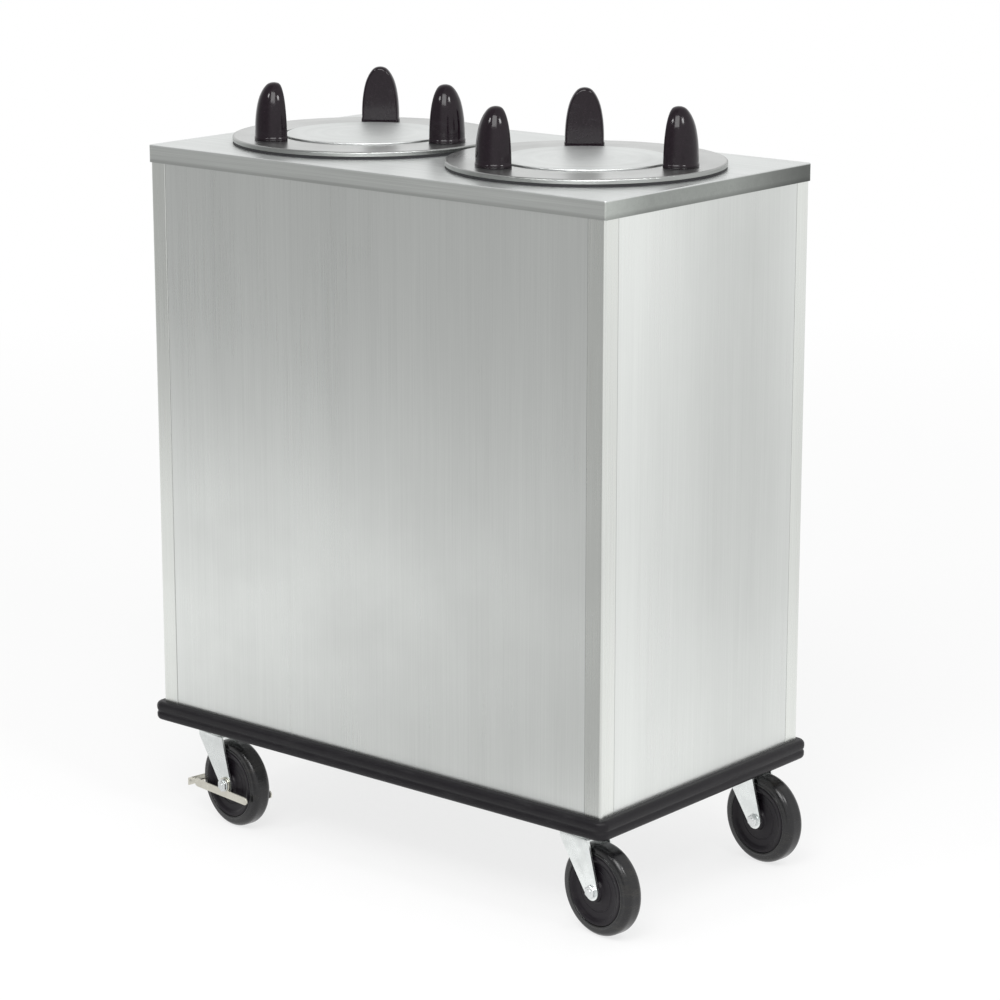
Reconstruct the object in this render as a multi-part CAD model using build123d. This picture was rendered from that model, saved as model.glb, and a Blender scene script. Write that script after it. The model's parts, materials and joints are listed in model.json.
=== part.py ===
from build123d import *
import math
import os

# Two-stack mobile plate dispenser, in millimetres. X runs along its length, -Y faces the broad side
# that has the braked casters at its left end, and Z is up from the floor.

# Dispensers, sized from the opening that the plates pass through
opening_radius = 118.0
post_count = 3
left_turn = 4.0
right_turn = 9.5
rod_offset = 32.0
spider_margin = 14.0
deck_hole_margin = 8.0
ring_seat_width = 14.0
ring_sheet = 1.5
ring_height = 10.0
ring_edge_radius = 2.0
ring_inner_lip = 22.0
ring_spacing = 16.0
gasket_height = 4.0
gasket_setback = 0.5

# Cabinet
deck_top = 970.0
deck_end_margin = 20.0
deck_side_margin = 34.0
deck_sheet = 1.5
deck_flange_height = 24.0
deck_corner_radius = 3.0
deck_edge_radius = 1.2
deck_hole_lip = 7.0
brace_side_gap = 1.5
brace_height = 20.0
brace_sheet = 2.0
brace_end_gap = 3.0
skin = 1.2
post_leg = 27.0
post_corner_radius = 4.0
return_depth = 12.0
seam_radius = 0.8
panel_recess = 0.4

# Base, bumper and the channels that carry the casters
base_height = 27.0
base_sheet = 2.0
base_inset = 0.5
base_corner_radius = 3.5
bumper_proud = 10.5
bumper_corner_radius = 15.0
bumper_edge_radius = 8.0
rail_margin = 4.0
rail_inset = 6.0
rail_height = 12.0
rail_sheet = 2.0
rail_end_gap = 1.0

# Guide posts
post_height = 78.0
post_base_radius = 27.5
post_waist_radius = 26.0
post_waist_height = 28.0
post_shoulder_radius = 21.5
post_shoulder_height = 55.0
post_tip_radius = 11.0
post_setback = 8.0
post_flat_offset = 10.0
post_foot_band = 4.0
post_nose_height = 4.0
post_nose_radius = 24.0
screw_radius = 4.0
screw_offset = 5.0
screw_depth = 25.0
screw_clearance = 0.3
screw_insert_clearance = 0.05
washer_radius = 8.5
washer_thickness = 1.6
screw_head_flats = 13.0
screw_head_height = 5.5

# Self-levelling carriers, their guide rods and springs
carrier_gap = 6.0
carrier_rise = 2.0
carrier_sheet = 1.5
carrier_skirt = 14.0
carrier_edge_radius = 3.0
carrier_drop = 247.0
leg_inset = 20.0
leg_width = 25.0
leg_sheet = 3.0
spider_inner_margin = 5.0
spider_sheet = 2.0
rod_radius = 5.0
rod_floor_gap = 26.7
bush_radius = 10.0
bush_height = 30.0
bush_clearance = 0.08
stop_radius = 9.0
stop_height = 8.0
stop_gap = 0.3
rod_seat_height = 10.0
foot_ring_margin = 15.0
foot_ring_sheet = 3.0
rod_nut_flats = 17.0
rod_nut_height = 8.0
rod_end = 3.0
rod_hole_clearance = 0.05
spring_spread = 30.0
spring_radius = 7.0
spring_wire = 2.0
spring_hook_radius = 1.2
spring_hook_length = 10.0
hanger_radius = 2.0
hanger_length = 22.0

# Casters
wheel_radius = 62.5
wheel_width = 30.0
tyre_depth = 15.0
tyre_shoulder_radius = 9.0
tyre_seat_clearance = 0.03
core_web_width = 24.0
core_rim_depth = 6.0
core_hub_radius = 15.0
core_hub_proud = 2.0
axle_radius = 5.0
axle_clearance = 0.05
axle_head_flats = 16.0
axle_head_height = 6.0
caster_trail = 34.0
caster_heading = -8.0
plate_length = 92.0
plate_width = 60.0
plate_inset = 8.0
plate_sheet = 3.0
plate_corner_radius = 6.0
bolt_edge_distance = 8.0
bolt_radius = 4.0
bolt_hole_clearance = 0.3
bolt_head_flats = 13.0
bolt_head_height = 5.3
bolt_nut_height = 6.5
bolt_end = 1.5
race_margin = 1.0
race_height = 8.0
race_taper = 3.0
race_gap = 0.4
lower_race_inset = 2.0
lower_race_height = 11.6
fork_side_gap = 0.4
fork_sheet = 3.0
fork_crown_gap = 5.0
fork_crown_length = 52.0
fork_skirt = 9.0
fork_foot_radius = 12.0
kingpin_radius = 6.0
kingpin_clearance = 0.05
kingpin_top_gap = 0.5

# Brake levers
pedal_toe_room = 20.0
lever_sheet = 2.5
lever_side_gap = 0.4
lever_drop = 12.5
lever_height = 12.0
lever_eye_radius = 11.0
pedal_gap = 7.5
pedal_length = 16.0
pedal_sheet = 3.0
pedal_lip = 9.0

# How far a cut runs past the faces that it opens
overcut = 1.0

# Widths of a dispenser, from the opening outwards, and of the deck that holds two of them
post_circle_radius = opening_radius + post_setback + post_flat_offset
screw_circle_radius = post_circle_radius + screw_offset
leg_radius = opening_radius - leg_inset
rod_circle_radius = opening_radius + rod_offset
spider_inner_radius = leg_radius - spider_inner_margin
spider_outer_radius = rod_circle_radius + spider_margin
foot_ring_inner_radius = rod_circle_radius - foot_ring_margin
foot_ring_outer_radius = rod_circle_radius + foot_ring_margin
deck_hole_radius = spider_outer_radius + deck_hole_margin
ring_outer_radius = deck_hole_radius + ring_seat_width
first_rod_angle = 180.0 / post_count
stack_pitch = 2 * ring_outer_radius + ring_spacing
deck_length = stack_pitch + 2 * (ring_outer_radius + deck_end_margin)
deck_width = 2 * (ring_outer_radius + deck_side_margin)
brace_width = stack_pitch - 2 * (deck_hole_radius + deck_sheet + brace_side_gap)
body_length = deck_length - 2 * deck_sheet
body_width = deck_width - 2 * deck_sheet
base_length = body_length - 2 * base_inset
base_width = body_width - 2 * base_inset
bumper_length = deck_length + 2 * bumper_proud
bumper_width = deck_width + 2 * bumper_proud

# Heights of a caster, from the floor up to the base that stands on it
core_radius = wheel_radius - tyre_depth
core_hub_width = wheel_width + 2 * core_hub_proud
crown_under = 2 * wheel_radius + fork_crown_gap
crown_top = crown_under + fork_sheet
lower_race_top = crown_top + lower_race_height
race_bottom = lower_race_top + race_gap
plate_bottom = race_bottom + race_height
rail_bottom = plate_bottom + plate_sheet
base_top = rail_bottom + rail_height + base_sheet
base_bottom = base_top - base_height

# Widths and places of a caster. The braked pair stands further in, so that its pedals stay under the bumper.
race_radius = plate_width / 2 - race_margin
lower_race_radius = race_radius - lower_race_inset
fork_inner = core_hub_width / 2 + fork_side_gap
fork_outer = fork_inner + fork_sheet
lever_inner = fork_outer + lever_side_gap
lever_outer = lever_inner + lever_sheet
lever_front = wheel_radius + pedal_gap
lever_back = wheel_radius - lever_drop
bolt_spacing_x = plate_length - 2 * bolt_edge_distance
bolt_spacing_y = plate_width - 2 * bolt_edge_distance
rail_width = plate_length + 2 * rail_margin
caster_x = body_length / 2 - rail_width / 2 - rail_inset
caster_y = body_width / 2 - plate_width / 2 - plate_inset
braked_caster_x = pedal_toe_room - caster_x

# Heights of a dispenser: its hanging parts from the deck down, then the foot of its rods from the base up
deck_under = deck_top - deck_sheet
ring_top = deck_top + ring_height
ring_under = ring_top - ring_sheet
carrier_top = ring_top + carrier_rise
carrier_under = carrier_top - carrier_sheet
spider_top = carrier_top - carrier_drop
spider_under = spider_top - spider_sheet
bush_bottom = spider_under - (bush_height - spider_sheet) / 2
bush_top = bush_bottom + bush_height
rod_bottom = base_top + rod_floor_gap
foot_ring_under = rod_bottom + rod_end + rod_nut_height
foot_ring_top = foot_ring_under + foot_ring_sheet
rod_nut_top = foot_ring_top + rod_nut_height

# The casters trail past the bumper at one end, so the cabinet stands off the footprint's centre.
heading = math.radians(caster_heading)
wheel_reach = (caster_trail + wheel_radius) * math.cos(heading)
caster_reach = caster_x + wheel_reach + wheel_width / 2 * abs(math.sin(heading))
footprint_shift = -max(0.0, caster_reach - bumper_length / 2) / 2


def block(x0, x1, y0, y1, z0, z1):
    size = Box(x1 - x0, y1 - y0, z1 - z0)
    return Pos((x0 + x1) / 2, (y0 + y1) / 2, (z0 + z1) / 2) * size


def rod(radius, z0, z1, x=0.0, y=0.0):
    return Pos(x, y, (z0 + z1) / 2) * Cylinder(radius, z1 - z0)


def bore(radius, z0, z1, x=0.0, y=0.0):
    return rod(radius, z0 - overcut, z1 + overcut, x, y)


def washer(outer, inner, z0, z1):
    return rod(outer, z0, z1) - bore(inner, z0, z1)


def hexagon(flats, z0, z1):
    outline = RegularPolygon(flats / 2, 6, major_radius=False)
    return Pos(0, 0, z0) * extrude(outline, z1 - z0)


def cross_rod(radius, y0, y1, x, z):
    return Pos(x, (y0 + y1) / 2, z) * Rot(90, 0, 0) * Cylinder(radius, y1 - y0)


def turned(points):
    return revolve(Plane.XZ * Polygon(*points, align=None), Axis.Z)


def polar(radius, angle):
    turn = math.radians(angle)
    return radius * math.cos(turn), radius * math.sin(turn)


def around(first=0.0):
    return [first + 360.0 / post_count * i for i in range(post_count)]


def fused(pieces):
    whole = pieces[0]
    for piece in pieces[1:]:
        whole = whole + piece
    return whole


def tray(length, width, z0, z1, sheet, corner_radius):
    outer = block(-length / 2, length / 2, -width / 2, width / 2, z0, z1)
    outer = fillet(outer.edges().filter_by(Axis.Z), corner_radius)
    inner = block(-length / 2 + sheet, length / 2 - sheet, -width / 2 + sheet, width / 2 - sheet, z0, z1 - sheet)
    if corner_radius > sheet:
        inner = fillet(inner.edges().filter_by(Axis.Z), corner_radius - sheet)
    return outer - inner


os.makedirs("parts", exist_ok=True)


def save(name, shape):
    export_step(Pos(footprint_shift, 0, 0) * shape, "parts/" + name + ".step")


# Top deck with its turned-down flange and the two dispenser openings
def make_deck():
    deck = tray(deck_length, deck_width, deck_top - deck_flange_height, deck_top, deck_sheet, deck_corner_radius)
    rim = deck.edges().group_by(Axis.Z)[-1]
    deck = fillet(rim, deck_edge_radius)
    for side in (-1, 1):
        x = side * stack_pitch / 2
        lip = washer(deck_hole_radius + deck_sheet, deck_hole_radius, deck_top - deck_hole_lip, deck_under)
        deck = deck - bore(deck_hole_radius, deck_under, deck_top, x) + Pos(x, 0, 0) * lip
    return deck


def make_deck_brace():
    half = brace_width / 2
    reach = body_width / 2 - panel_recess - return_depth - brace_end_gap
    low = deck_under - brace_height
    brace = block(-half, half, -reach, reach, low, deck_under)
    hollow = half - brace_sheet
    end = reach + overcut
    return brace - block(-hollow, hollow, -end, end, low - overcut, deck_under - brace_sheet)


# A side panel is a shallow pan with returned edges, seen here from the front of the cabinet.
def make_panel(face_length, face_distance):
    half = face_length / 2 - post_leg
    y = -(face_distance / 2 - panel_recess)
    pan = block(-half, half, y, y + return_depth, base_top, deck_under)
    pan = fillet(pan.edges().filter_by(Axis.Z).group_by(Axis.Y)[0], seam_radius)
    inside = half - skin
    hollow = block(-inside, inside, y + skin, y + return_depth + overcut, base_top + skin, deck_under - skin)
    return pan - hollow


# A corner post is an angle with both legs returned inwards against the panels.
def make_corner_post():
    leg, wall, depth = post_leg, skin, return_depth + panel_recess
    profile = Polygon(
        (0, 0), (-leg, 0), (-leg, depth), (-leg + wall, depth), (-leg + wall, wall), (-wall, wall),
        (-wall, leg - wall), (-depth, leg - wall), (-depth, leg), (0, leg), align=None)
    post = extrude(profile, deck_under - base_top, dir=(0, 0, 1))
    uprights = post.edges().filter_by(Axis.Z)
    outer_corner = [e for e in uprights if stands_at(e, 0, 0)]
    seams = [e for e in uprights if stands_at(e, -leg, 0) or stands_at(e, 0, leg)]
    inner_corner = [e for e in uprights if stands_at(e, -wall, wall)]
    post = fillet(inner_corner, post_corner_radius - wall)
    post = fillet(same_edges(post, outer_corner), post_corner_radius)
    post = fillet(same_edges(post, seams), seam_radius)
    return Pos(0, 0, base_top) * post


def stands_at(edge, x, y):
    return abs(edge.center().X - x) < seam_radius / 2 and abs(edge.center().Y - y) < seam_radius / 2


def same_edges(shape, wanted):
    places = [edge.center() for edge in wanted]
    return [e for e in shape.edges().filter_by(Axis.Z) if any(stands_at(e, p.X, p.Y) for p in places)]


def make_base_pan():
    return tray(base_length, base_width, base_bottom, base_top, base_sheet, base_corner_radius)


def make_bumper():
    outer = block(-bumper_length / 2, bumper_length / 2, -bumper_width / 2, bumper_width / 2, base_bottom, base_top)
    outer = fillet(outer.edges().filter_by(Axis.Z), bumper_corner_radius)
    rims = outer.edges().group_by(Axis.Z)
    outer = fillet(rims[0] + rims[-1], bumper_edge_radius)
    core = block(-base_length / 2, base_length / 2, -base_width / 2, base_width / 2,
                 base_bottom - overcut, base_top + overcut)
    return outer - fillet(core.edges().filter_by(Axis.Z), base_corner_radius)


def make_caster_rail():
    half = base_width / 2 - base_sheet - rail_end_gap
    top = base_top - base_sheet
    rail = block(-rail_width / 2, rail_width / 2, -half, half, rail_bottom, top)
    hollow = rail_width / 2 - rail_sheet
    end = half + overcut
    rail = rail - block(-hollow, hollow, -end, end, rail_bottom + rail_sheet, top + overcut)
    hole_radius = bolt_radius + bolt_hole_clearance
    for side in (-1, 1):
        for x, y in bolt_places():
            rail = rail - bore(hole_radius, rail_bottom, rail_bottom + rail_sheet, x, y + side * caster_y)
    return rail


def bolt_places():
    return [(i * bolt_spacing_x / 2, j * bolt_spacing_y / 2) for i in (-1, 1) for j in (-1, 1)]


# A dispenser is made about its own axis, with its first guide post towards +X.
# Its flange drops into the deck, and carries the hooks that the springs hang from.
def make_flange_ring():
    inner, outer = opening_radius, ring_outer_radius
    ring = turned([
        (inner, ring_top - ring_inner_lip), (inner, ring_top), (outer, ring_top), (outer, deck_top + gasket_height),
        (outer - ring_sheet, deck_top + gasket_height), (outer - ring_sheet, ring_under),
        (inner + ring_sheet, ring_under), (inner + ring_sheet, ring_top - ring_inner_lip)])
    rims = ring.edges().filter_by(GeomType.CIRCLE).group_by(Axis.Z)[-1]
    ring = fillet(rims.sort_by(SortBy.RADIUS)[-1:], ring_edge_radius)
    for angle in around():
        x, y = polar(screw_circle_radius, angle)
        ring = ring - bore(screw_radius + screw_clearance, ring_under, ring_top, x, y)
    for angle in spring_angles():
        x, y = polar(rod_circle_radius, angle)
        ring = ring + rod(hanger_radius, ring_under - hanger_length, ring_under, x, y)
    return ring


def make_gasket():
    return washer(ring_outer_radius - gasket_setback, deck_hole_radius + deck_sheet, deck_top,
                  deck_top + gasket_height)


def spring_angles():
    return [angle + turn for angle in around(first_rod_angle) for turn in (-spring_spread, spring_spread)]


# Bullet-shaped moulded guide post, cut flat on the side that faces the stack
def make_guide_post():
    waist = (post_waist_radius, ring_top + post_waist_height)
    shoulder = (post_shoulder_radius, ring_top + post_shoulder_height)
    top_z = ring_top + post_height
    with BuildSketch(Plane.XZ) as outline:
        with BuildLine():
            band = (post_base_radius, ring_top + post_foot_band)
            Polyline((0, top_z), (0, ring_top), (post_base_radius, ring_top), band)
            side = Spline(band, waist, shoulder, (post_tip_radius, top_z - post_nose_height))
            RadiusArc(side @ 1, (0, top_z), -post_nose_radius)
        make_face()
    post = revolve(outline.sketch, Axis.Z)
    beyond = post_base_radius + overcut
    flat = block(-beyond, -post_flat_offset, -beyond, beyond, ring_top - overcut, top_z + overcut)
    hole_radius = screw_radius + screw_insert_clearance
    hole = rod(hole_radius, ring_top - overcut, ring_top + screw_depth, screw_offset)
    return Pos(post_circle_radius, 0, 0) * (post - flat - hole)


def make_post_screw():
    washer_under = ring_under - washer_thickness
    head = hexagon(screw_head_flats, washer_under - screw_head_height, washer_under)
    pad = rod(washer_radius, washer_under, ring_under)
    shank = rod(screw_radius, washer_under, ring_top + screw_depth)
    return Pos(screw_circle_radius, 0, 0) * (head + pad + shank)


# Carrier platform, its legs and the sliding spider that the springs lift
def make_carrier_plate():
    radius = opening_radius - carrier_gap
    plate = turned([
        (0, carrier_under), (0, carrier_top), (radius, carrier_top), (radius, carrier_top - carrier_skirt),
        (radius - carrier_sheet, carrier_top - carrier_skirt), (radius - carrier_sheet, carrier_under)])
    rim = plate.edges().filter_by(GeomType.CIRCLE).group_by(Axis.Z)[-1]
    return fillet(rim, carrier_edge_radius - carrier_sheet)


def make_carrier_spider():
    spider = washer(spider_outer_radius, spider_inner_radius, spider_under, spider_top)
    for angle in around(first_rod_angle):
        x, y = polar(rod_circle_radius, angle)
        spider = spider + rod(bush_radius, bush_bottom, bush_top, x, y)
        spider = spider - bore(rod_radius + bush_clearance, bush_bottom, bush_top, x, y)
    for angle in around():
        leg = block(leg_radius, leg_radius + leg_sheet, -leg_width / 2, leg_width / 2, spider_top, carrier_under)
        spider = spider + Rot(0, 0, angle) * leg
    return spider


def make_guide_rod():
    shaft = rod(rod_radius, rod_bottom, ring_under)
    seat = rod(stop_radius, ring_under - rod_seat_height, ring_under)
    stop = rod(stop_radius, bush_top + stop_gap, bush_top + stop_gap + stop_height)
    upper_nut = hexagon(rod_nut_flats, foot_ring_top, rod_nut_top)
    lower_nut = hexagon(rod_nut_flats, foot_ring_under - rod_nut_height, foot_ring_under)
    return fused([shaft, seat, stop, upper_nut, lower_nut])


def make_foot_ring():
    ring = washer(foot_ring_outer_radius, foot_ring_inner_radius, foot_ring_under, foot_ring_top)
    for angle in around(first_rod_angle):
        x, y = polar(rod_circle_radius, angle)
        ring = ring - bore(rod_radius + rod_hole_clearance, foot_ring_under, foot_ring_top, x, y)
    return ring


def make_spring():
    top = ring_under - hanger_length
    coil_top = top - spring_hook_length
    coil_bottom = spider_top + spring_hook_length
    coil = rod(spring_radius, coil_bottom, coil_top)
    coil = coil - rod(spring_radius - spring_wire, coil_bottom + spring_wire, coil_top - spring_wire)
    upper_hook = rod(spring_hook_radius, coil_top, top)
    lower_hook = rod(spring_hook_radius, spider_top, coil_bottom)
    return fused([coil, upper_hook, lower_hook])


def turned_copies(piece, angles, radius=0.0):
    return Compound([Rot(0, 0, angle) * Pos(radius, 0, 0) * piece for angle in angles])


# Caster pieces, about the swivel axis, with the wheel trailing towards +X
def make_caster_plate():
    plate = block(-plate_length / 2, plate_length / 2, -plate_width / 2, plate_width / 2, plate_bottom, rail_bottom)
    plate = fillet(plate.edges().filter_by(Axis.Z), plate_corner_radius)
    for x, y in bolt_places():
        plate = plate - bore(bolt_radius + bolt_hole_clearance, plate_bottom, rail_bottom, x, y)
    race = Pos(0, 0, race_bottom) * Cone(race_radius, race_radius - race_taper, race_height,
                                         align=(Align.CENTER, Align.CENTER, Align.MIN))
    return plate + race - bore(kingpin_radius + kingpin_clearance, race_bottom, rail_bottom)


def make_caster_bolt():
    head = hexagon(bolt_head_flats, plate_bottom - bolt_head_height, plate_bottom)
    seat = rail_bottom + rail_sheet
    nut = hexagon(bolt_head_flats, seat, seat + bolt_nut_height)
    shank = rod(bolt_radius, plate_bottom, seat + bolt_nut_height + bolt_end)
    return fused([head, nut, shank])


def make_fork():
    half = fork_crown_length / 2
    crown = block(-half, half, -fork_outer, fork_outer, crown_under, crown_top)
    race = rod(lower_race_radius, crown_top, lower_race_top)
    kingpin = rod(kingpin_radius, lower_race_top, rail_bottom - kingpin_top_gap)
    foot = Pos(caster_trail, wheel_radius) * Circle(fork_foot_radius)
    skirt = Pos(0, crown_top - fork_skirt / 2) * Rectangle(fork_crown_length, fork_skirt)
    outline = make_hull(foot.edges() + skirt.edges())
    leg = extrude(Plane.XZ * outline, fork_sheet)
    near_leg = Pos(0, -fork_inner, 0) * leg
    far_leg = Pos(0, fork_outer, 0) * leg
    fork = fused([crown, near_leg, far_leg, race, kingpin])
    reach = fork_outer + overcut
    return fork - cross_rod(axle_radius + axle_clearance, -reach, reach, caster_trail, wheel_radius)


def make_axle_bolt(braked):
    seat = lever_outer + lever_side_gap if braked else fork_outer
    shank = Cylinder(axle_radius, 2 * seat)
    head = extrude(RegularPolygon(axle_head_flats / 2, 6, major_radius=False), axle_head_height)
    bolt = fused([shank, Pos(0, 0, seat) * head, Pos(0, 0, -seat - axle_head_height) * head])
    return Pos(caster_trail, 0, wheel_radius) * Rot(90, 0, 0) * bolt


def make_wheel_core():
    hole = axle_radius + axle_clearance
    rim = core_radius - tyre_seat_clearance
    hub, web, edge = core_hub_width / 2, core_web_width / 2, wheel_width / 2
    core = turned([
        (hole, -hub), (core_hub_radius, -hub), (core_hub_radius, -web), (rim - core_rim_depth, -web),
        (rim - core_rim_depth, -edge), (rim, -edge), (rim, edge), (rim - core_rim_depth, edge),
        (rim - core_rim_depth, web), (core_hub_radius, web), (core_hub_radius, hub), (hole, hub)])
    return Pos(caster_trail, 0, wheel_radius) * Rot(90, 0, 0) * core


def make_tyre():
    edge = wheel_width / 2
    tyre = washer(wheel_radius, core_radius, -edge, edge)
    treads = [e for e in tyre.edges().filter_by(GeomType.CIRCLE) if e.radius > (core_radius + wheel_radius) / 2]
    tyre = fillet(treads, tyre_shoulder_radius)
    return Pos(caster_trail, 0, wheel_radius) * Rot(90, 0, 0) * tyre


# Foot brake: two side arms on the axle bolt, joined by a pedal ahead of the tread
def make_brake_lever():
    x = caster_trail
    low = wheel_radius - lever_drop - lever_height / 2
    high = low + lever_height
    arms = []
    for y0 in (-lever_outer, lever_inner):
        bar = block(x - lever_front, x + lever_back, y0, y0 + lever_sheet, low, high)
        ends = bar.edges().filter_by(Axis.Y).group_by(Axis.X)[-1]
        bar = fillet(ends, lever_height / 3)
        eye = cross_rod(lever_eye_radius, y0, y0 + lever_sheet, x, wheel_radius)
        hole = cross_rod(axle_radius + axle_clearance, y0 - overcut, y0 + lever_sheet + overcut, x, wheel_radius)
        arms.append(bar + eye - hole)
    tip = x - lever_front - pedal_length
    middle = (low + high) / 2
    pedal = block(tip, x - lever_front + pedal_sheet, -lever_outer, lever_outer, middle, middle + pedal_sheet)
    lip = block(tip, tip + pedal_sheet, -lever_outer, lever_outer, middle - pedal_lip, middle)
    return fused([arms[0], arms[1], pedal, lip])


# Cabinet shell
save("deck", make_deck())
save("deck_brace", make_deck_brace())
save("base_pan", make_base_pan())
save("bumper", make_bumper())
long_panel = make_panel(body_length, body_width)
short_panel = make_panel(body_width, body_length)
save("front_panel", long_panel)
save("rear_panel", Rot(0, 0, 180) * long_panel)
save("right_panel", Rot(0, 0, 90) * short_panel)
save("left_panel", Rot(0, 0, -90) * short_panel)
corner = Pos(body_length / 2, -body_width / 2, 0) * make_corner_post()
save("corner_post_front_right", corner)
save("corner_post_rear_left", Rot(0, 0, 180) * corner)
corner = mirror(corner, Plane.YZ)
save("corner_post_front_left", corner)
save("corner_post_rear_right", Rot(0, 0, 180) * corner)
rail = make_caster_rail()
save("caster_rails", Compound([Pos(x, 0, 0) * rail for x in (braked_caster_x, caster_x)]))

# Dispensers
for name, side, turn in (("left", -1, left_turn), ("right", 1, right_turn)):
    place = Pos(side * stack_pitch / 2, 0, 0) * Rot(0, 0, turn)
    save(name + "_flange_ring", place * make_flange_ring())
    save(name + "_ring_gasket", place * make_gasket())
    for number, angle in enumerate(around(), 1):
        save(name + "_guide_post_" + str(number), place * Rot(0, 0, angle) * make_guide_post())
    save(name + "_post_screws", place * turned_copies(make_post_screw(), around()))
    save(name + "_carrier_plate", place * make_carrier_plate())
    save(name + "_carrier_spider", place * make_carrier_spider())
    save(name + "_guide_rods", place * turned_copies(make_guide_rod(), around(first_rod_angle), rod_circle_radius))
    save(name + "_foot_ring", place * make_foot_ring())
    save(name + "_lift_springs", place * turned_copies(make_spring(), spring_angles(), rod_circle_radius))

# Casters
bolt = make_caster_bolt()
bolts = []
for name, side, braked in (("front_left", -1, True), ("front_right", -1, False),
                           ("rear_left", 1, True), ("rear_right", 1, False)):
    foot = Pos(braked_caster_x if braked else caster_x, side * caster_y, 0)
    rolling = foot * Rot(0, 0, caster_heading)
    save(name + "_caster_plate", foot * make_caster_plate())
    save(name + "_caster_fork", rolling * make_fork())
    save(name + "_axle_bolt", rolling * make_axle_bolt(braked))
    save(name + "_wheel_core", rolling * make_wheel_core())
    save(name + "_tyre", rolling * make_tyre())
    if braked:
        save(name + "_brake_lever", rolling * make_brake_lever())
    bolts += [foot * Pos(x, y, 0) * bolt for x, y in bolt_places()]
save("caster_bolts", Compound(bolts))
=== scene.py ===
import json
import math

import bpy
from mathutils import Matrix, Vector


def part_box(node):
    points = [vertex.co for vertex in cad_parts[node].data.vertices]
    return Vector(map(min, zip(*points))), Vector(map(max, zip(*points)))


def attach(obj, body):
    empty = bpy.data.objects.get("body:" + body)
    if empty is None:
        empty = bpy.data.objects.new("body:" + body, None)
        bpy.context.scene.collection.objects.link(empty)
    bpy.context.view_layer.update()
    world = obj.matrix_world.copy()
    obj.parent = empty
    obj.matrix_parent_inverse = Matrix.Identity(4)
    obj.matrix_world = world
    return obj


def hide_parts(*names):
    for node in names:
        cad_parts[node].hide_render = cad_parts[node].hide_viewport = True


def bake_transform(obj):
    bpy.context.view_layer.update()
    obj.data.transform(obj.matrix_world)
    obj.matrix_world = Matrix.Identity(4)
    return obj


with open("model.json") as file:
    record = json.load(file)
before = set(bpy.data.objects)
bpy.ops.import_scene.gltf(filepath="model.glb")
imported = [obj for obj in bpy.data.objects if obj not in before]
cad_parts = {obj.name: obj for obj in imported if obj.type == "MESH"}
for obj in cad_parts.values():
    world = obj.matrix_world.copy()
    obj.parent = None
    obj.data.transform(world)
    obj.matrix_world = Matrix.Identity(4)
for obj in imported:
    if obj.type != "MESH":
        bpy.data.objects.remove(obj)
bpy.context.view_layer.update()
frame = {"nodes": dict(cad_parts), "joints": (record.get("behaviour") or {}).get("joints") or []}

scene = bpy.context.scene
scene.view_settings.view_transform = "Standard"
mm = 0.001
sides = ("left", "right")
corners = ("front_left", "front_right", "rear_left", "rear_right")
braked = ("front_left", "rear_left")
joints = {joint["name"]: joint for joint in frame["joints"]}

# Dispensers: their turn in the deck and the angles of their posts and springs, in degrees, and the radii of
# the circles that posts and springs stand on
dispenser_turn = {"left": 4.0, "right": 9.5}
post_step = 120
spring_spread = 30
post_circle = 136
spring_circle = 150

# Casters: the axle's trail and height, the fork's sheet, and the mounting plate with its bolts
caster_trail = 34.0
axle_height = 62.5
fork_half_length = 26.0
fork_foot_radius = 12.0
fork_top = 133.0
fork_under = 130.0
fork_outer = 20.4
fork_inner = 17.4
plate_bottom = 153.0
plate_top = 156.0
bolt_x = 38
bolt_y = 22

# What metal sees of the studio: where the floor's bright pool is, how bright the floor and its dim stretch
# are, and the headings of that stretch and of the duller band behind the object
pool_centre = Vector((-1.8, -0.95, 0))
floor_level = 1.05
room_dark = 0.42
dim_heading = (-0.54, -0.84, 0)
band_heading = (0.65, 0.76, 0)
band_loss = 0.2
white = (1, 1, 1, 1)
lamp_aim = Vector((0, 0, 0.55))


# The way from the object to a camera or lamp, where azimuth 0 is the -Y side and 90 degrees the +X end
def way_to(azimuth, elevation):
    return Vector((math.sin(azimuth) * math.cos(elevation), -math.cos(azimuth) * math.cos(elevation),
                   math.sin(elevation)))


# Camera, at the place that the photograph was taken from
def make_camera():
    azimuth, elevation = math.radians(39.99), math.radians(13.953)
    distance, aside, above = 4.5241, 0.03567, -0.01161
    target = Vector((-0.014824, 0, 0.5))
    back = way_to(azimuth, elevation)
    right = Vector((math.cos(azimuth), math.sin(azimuth), 0))
    up = back.cross(right)
    place = target + back * distance + right * aside + up * above
    data = bpy.data.cameras.new("camera")
    data.sensor_width = 36
    data.lens = 117.67
    camera = bpy.data.objects.new("camera", data)
    camera.matrix_world = Matrix.Translation(place) @ Matrix((right, up, back)).transposed().to_4x4()
    scene.collection.objects.link(camera)
    scene.camera = camera


# Node helpers
def node(tree, kind, inputs=None, **settings):
    made = tree.nodes.new("ShaderNode" + kind)
    for name, value in settings.items():
        setattr(made, name, value)
    for name, value in (inputs or {}).items():
        if isinstance(value, bpy.types.NodeSocket):
            tree.links.new(value, made.inputs[name])
        else:
            made.inputs[name].default_value = value
    return made


def math_node(tree, operation, a, b=0.0):
    return node(tree, "Math", {0: a, 1: b}, operation=operation).outputs[0]


def times(tree, vector, factors):
    return node(tree, "VectorMath", {0: vector, 1: factors}, operation="MULTIPLY").outputs[0]


def length_of(tree, vector):
    return node(tree, "VectorMath", {0: vector}, operation="LENGTH").outputs["Value"]


def share_along(tree, vector, heading):
    made = node(tree, "VectorMath", {0: vector, 1: heading}, operation="DOT_PRODUCT")
    return made.outputs["Value"]


def noise(tree, vector, scale, detail=2.0, roughness=0.5):
    inputs = {"Vector": vector, "Scale": scale, "Detail": detail, "Roughness": roughness}
    return node(tree, "TexNoise", inputs).outputs[0]


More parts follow.
